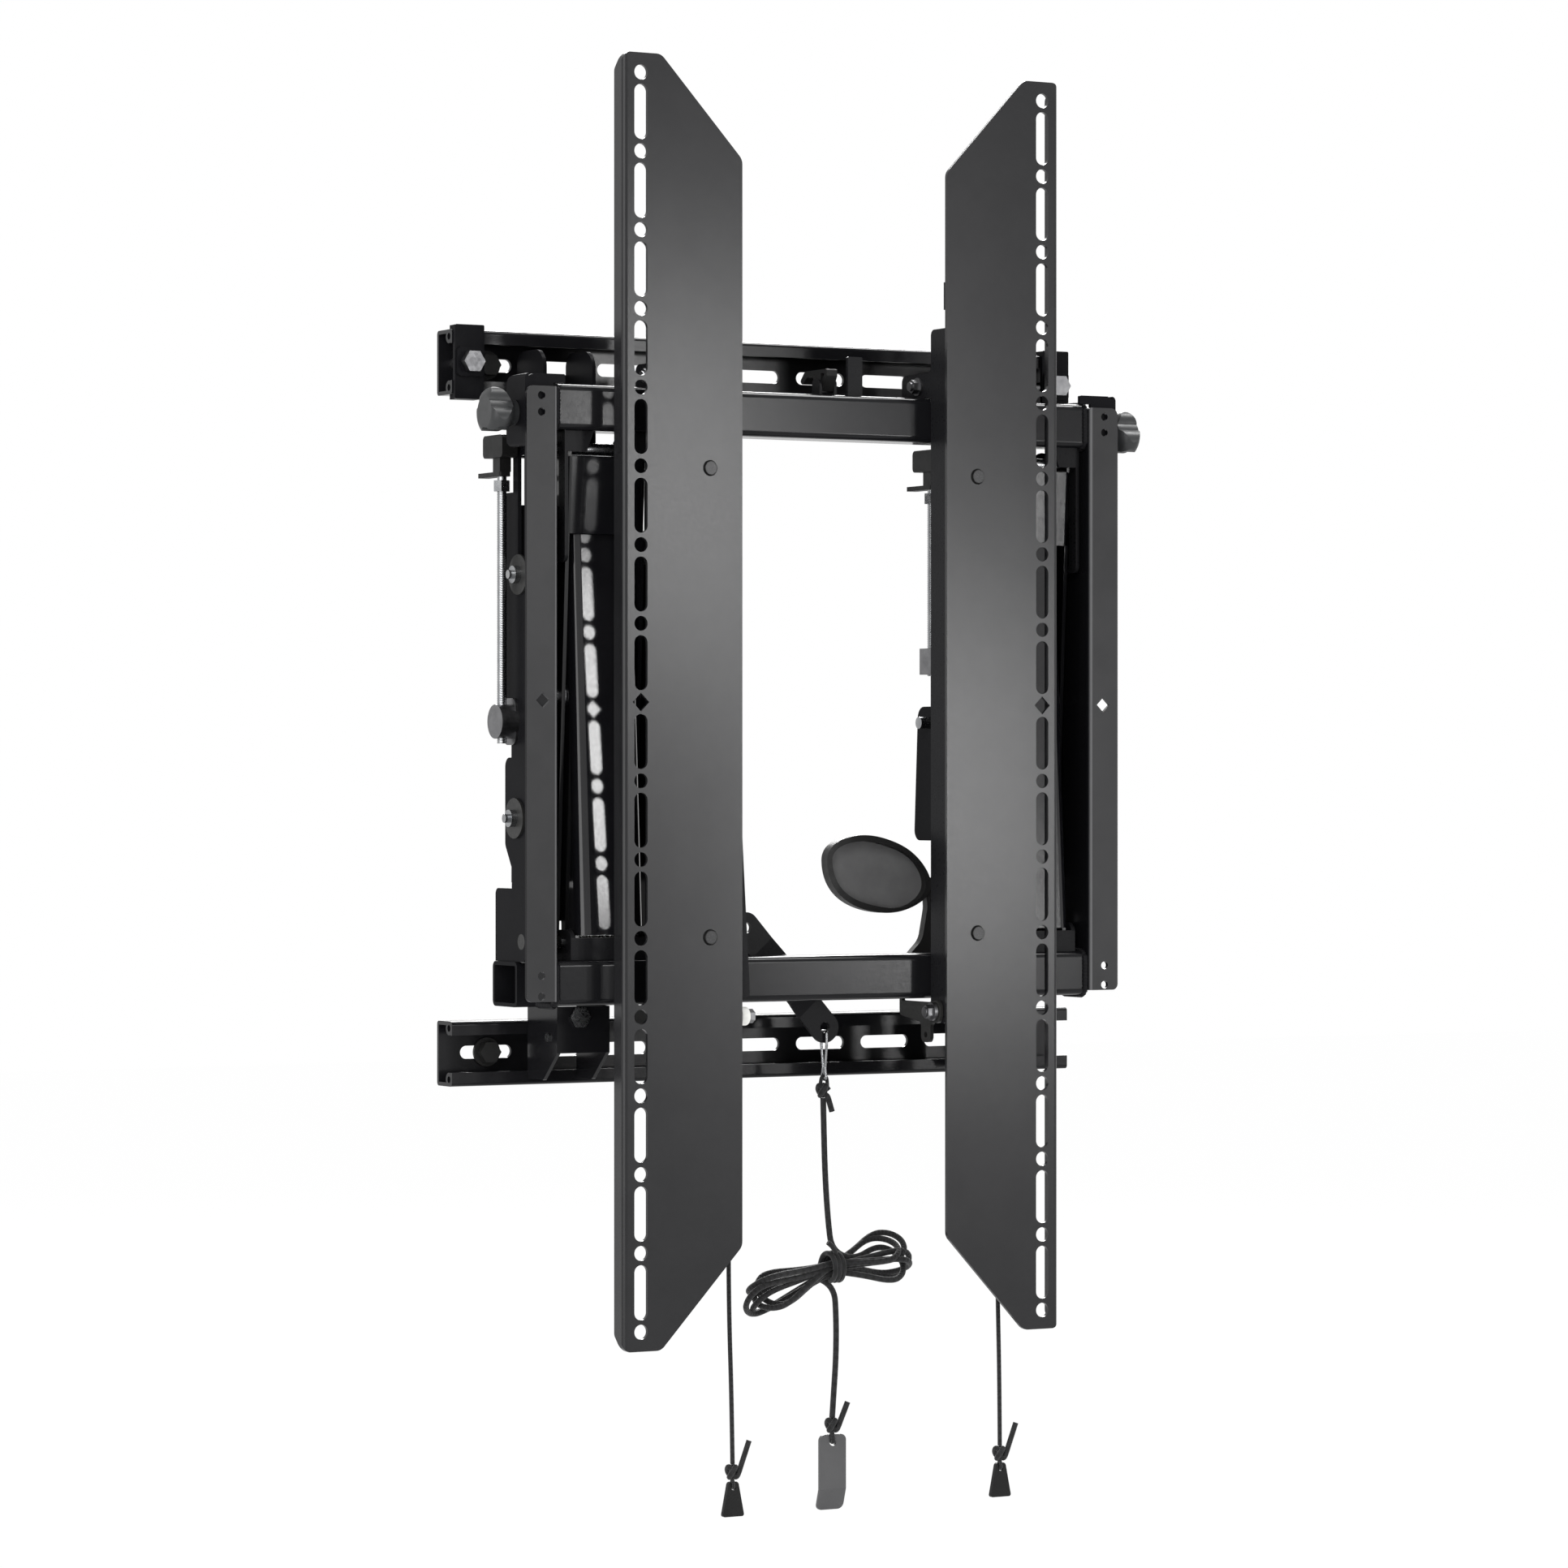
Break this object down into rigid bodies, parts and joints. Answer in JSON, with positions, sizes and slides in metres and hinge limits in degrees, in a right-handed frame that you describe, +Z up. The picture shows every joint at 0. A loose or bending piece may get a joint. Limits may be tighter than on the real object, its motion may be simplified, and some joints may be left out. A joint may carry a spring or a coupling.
{
  "type": "pull-out video wall mount",
  "caption": "Wall mount for a video-wall display: slotted rails carry a scissor frame that pops out level, with hook-on display brackets released by pull cords.",
  "frame": {"origin": "on the wall plane, midway between the two wall rails", "axes": "+X to the viewer's right, +Y into the wall, +Z up"},
  "size_m": [0.486, 0.1256, 0.9435],
  "materials": {
    "powder_coat": "satin black powder coat",
    "gloss_coat": "smooth black paint with a sheen",
    "zinc": "bright zinc plate",
    "grey_zinc": "dull zinc",
    "grey_plastic": "moulded grey plastic",
    "black_plastic": "moulded black plastic",
    "nylon": "pale nylon",
    "black_oxide": "black oxide",
    "dark_plate": "dark grey coat",
    "braid": "black braided cord"
  },
  "bodies": {
    "wall": {"upper_wall_rail": "gloss_coat", "lower_wall_rail": "gloss_coat", "rail_clamps": "powder_coat", "rail_anchor_bolts": "black_oxide", "rail_clamp_bolts": "zinc", "left_wall_hook": "powder_coat", "right_wall_hook": "powder_coat", "screw_blocks": "black_plastic"},
    "left_height_screw": {"left_height_screw": "zinc"},
    "right_height_screw": {"right_height_screw": "zinc"},
    "back_frame": {"left_side_channel": "powder_coat", "right_side_channel": "powder_coat", "cross_nuts": "grey_zinc", "column_feet": "powder_coat", "back_frame_bolts": "zinc", "guide_washers": "black_oxide", "lower_back_tube": "powder_coat", "upper_back_tube": "powder_coat", "pivot_shafts": "zinc", "cable_holder": "black_plastic"},
    "left_outer_arm": {"left_outer_arm": "gloss_coat", "left_outer_pins": "zinc"},
    "left_inner_arm": {"left_inner_arm": "gloss_coat"},
    "right_outer_arm": {"right_outer_arm": "gloss_coat", "right_outer_pins": "zinc"},
    "right_inner_arm": {"right_inner_arm": "gloss_coat"},
    "front_frame": {"left_post": "powder_coat", "right_post": "powder_coat", "upper_front_tube": "gloss_coat", "lower_front_tube": "gloss_coat", "slide_tracks": "powder_coat", "pivot_lugs": "powder_coat", "knob_brackets": "powder_coat", "front_frame_pins": "zinc", "hook_bracket": "powder_coat"},
    "left_knob": {"left_clamp_knob": "grey_plastic"},
    "right_knob": {"right_clamp_knob": "grey_plastic"},
    "left_bracket": {"left_display_plate": "dark_plate", "left_hook_rail": "powder_coat", "left_rivets": "dark_plate", "left_bracket_pins": "zinc", "left_latch_roller": "nylon"},
    "right_bracket": {"right_display_plate": "dark_plate", "right_hook_rail": "powder_coat", "right_rivets": "dark_plate", "right_bracket_pins": "zinc", "right_latch_roller": "nylon"},
    "left_latch": {"left_latch": "grey_zinc"},
    "right_latch": {"right_latch": "grey_zinc"},
    "left_cord": {"left_pull_cord": "braid", "left_pull_tab": "black_plastic"},
    "right_cord": {"right_pull_cord": "braid", "right_pull_tab": "black_plastic"},
    "spring_hook": {"spring_hook": "black_plastic"},
    "release_lever": {"release_lever": "powder_coat"},
    "release_cord": {"cord_clip": "zinc", "release_cord": "braid", "cord_hank": "braid", "cord_tag": "dark_plate"},
    "lock_lever": {"lock_lever": "grey_zinc"}
  },
  "joints": [
    {"name": "height_adjust", "type": "slide", "parent": "wall", "child": "back_frame", "axis": [0, 0, 1], "range_m": [-0.005, 0.01]},
    {"name": "left_screw_turn", "type": "hinge", "parent": "wall", "child": "left_height_screw", "pos_m": [-0.212, -0.0505, 0], "axis": [0, 0, 1], "range_deg": [-2420, 2420]},
    {"name": "right_screw_turn", "type": "hinge", "parent": "wall", "child": "right_height_screw", "pos_m": [0.109, -0.0505, 0], "axis": [0, 0, 1], "range_deg": [-2420, 2420]},
    {"name": "pop_out", "type": "hinge", "parent": "back_frame", "child": "left_outer_arm", "pos_m": [-0.1605, -0.064, -0.15], "axis": [1, 0, 0], "range_deg": [0, 34]},
    {"name": "left_crossing", "type": "hinge", "parent": "left_outer_arm", "child": "left_inner_arm", "pos_m": [-0.1605, -0.073, 0.00749], "axis": [1, 0, 0], "range_deg": [-69, 1]},
    {"name": "left_front_pivot", "type": "hinge", "parent": "left_inner_arm", "child": "front_frame", "pos_m": [-0.1605, -0.082, -0.15], "axis": [1, 0, 0], "range_deg": [-1, 35]},
    {"name": "right_arm_swing", "type": "hinge", "parent": "back_frame", "child": "right_outer_arm", "pos_m": [0.1605, -0.064, -0.15], "axis": [1, 0, 0], "range_deg": [-1, 35]},
    {"name": "right_crossing", "type": "hinge", "parent": "right_outer_arm", "child": "right_inner_arm", "pos_m": [0.1605, -0.073, 0.00749], "axis": [1, 0, 0], "range_deg": [-69, 1]},
    {"name": "left_knob_turn", "type": "hinge", "parent": "front_frame", "child": "left_knob", "pos_m": [-0.23, -0.088, 0.1865], "axis": [1, 0, 0], "continuous": true},
    {"name": "right_knob_turn", "type": "hinge", "parent": "front_frame", "child": "right_knob", "pos_m": [0.23, -0.088, 0.1865], "axis": [1, 0, 0], "continuous": true},
    {"name": "left_bracket_slide", "type": "slide", "parent": "front_frame", "child": "left_bracket", "axis": [1, 0, 0], "range_m": [-0.03, 0.03]},
    {"name": "right_bracket_slide", "type": "slide", "parent": "front_frame", "child": "right_bracket", "axis": [1, 0, 0], "range_m": [-0.03, 0.03]},
    {"name": "left_latch_turn", "type": "hinge", "parent": "left_bracket", "child": "left_latch", "pos_m": [-0.1, -0.112, -0.1985], "axis": [-1, 0, 0], "range_deg": [0, 14], "stiffness_Nm_per_rad": 0.3, "springref_deg": -22.92},
    {"name": "right_latch_turn", "type": "hinge", "parent": "right_bracket", "child": "right_latch", "pos_m": [0.1, -0.112, -0.1985], "axis": [-1, 0, 0], "range_deg": [0, 14], "stiffness_Nm_per_rad": 0.3, "springref_deg": -22.92},
    {"name": "left_cord_hang", "type": "hinge", "parent": "left_latch", "child": "left_cord", "pos_m": [-0.075, -0.101, -0.214], "axis": [-1, 0, 0], "range_deg": [-15, 1]},
    {"name": "right_cord_hang", "type": "hinge", "parent": "right_latch", "child": "right_cord", "pos_m": [0.125, -0.101, -0.214], "axis": [-1, 0, 0], "range_deg": [-15, 1]},
    {"name": "hook_lift", "type": "hinge", "parent": "front_frame", "child": "spring_hook", "pos_m": [0.008, -0.082, 0.212], "axis": [1, 0, 0], "range_deg": [0, 25], "stiffness_Nm_per_rad": 0.05, "springref_deg": -22.92},
    {"name": "release_pull", "type": "hinge", "parent": "front_frame", "child": "release_lever", "pos_m": [-0.0123, -0.068, -0.1762], "axis": [0, 1, 0], "range_deg": [0, 20], "stiffness_Nm_per_rad": 0.4, "springref_deg": -20.05},
    {"name": "release_cord_hang", "type": "hinge", "parent": "release_lever", "child": "release_cord", "pos_m": [0.0174, -0.065, -0.2118], "axis": [0, 1, 0], "range_deg": [-21, 1]},
    {"name": "lock_swing", "type": "hinge", "parent": "back_frame", "child": "lock_lever", "pos_m": [0.1135, -0.042, -0.008], "axis": [-1, 0, 0], "range_deg": [0, 25]}
  ],
  "couplings": [
    {"joint": "left_screw_turn", "follows": "height_adjust", "rad_per_m": 4188.8},
    {"joint": "right_screw_turn", "follows": "height_adjust", "rad_per_m": 4188.8},
    {"joint": "left_crossing", "follows": "pop_out", "ratio": -2},
    {"joint": "left_front_pivot", "follows": "pop_out", "ratio": 1},
    {"joint": "right_arm_swing", "follows": "pop_out", "ratio": 1},
    {"joint": "right_crossing", "follows": "pop_out", "ratio": -2},
    {"joint": "left_cord_hang", "follows": "left_latch_turn", "ratio": -1},
    {"joint": "right_cord_hang", "follows": "right_latch_turn", "ratio": -1},
    {"joint": "release_cord_hang", "follows": "release_pull", "ratio": -1}
  ]
}
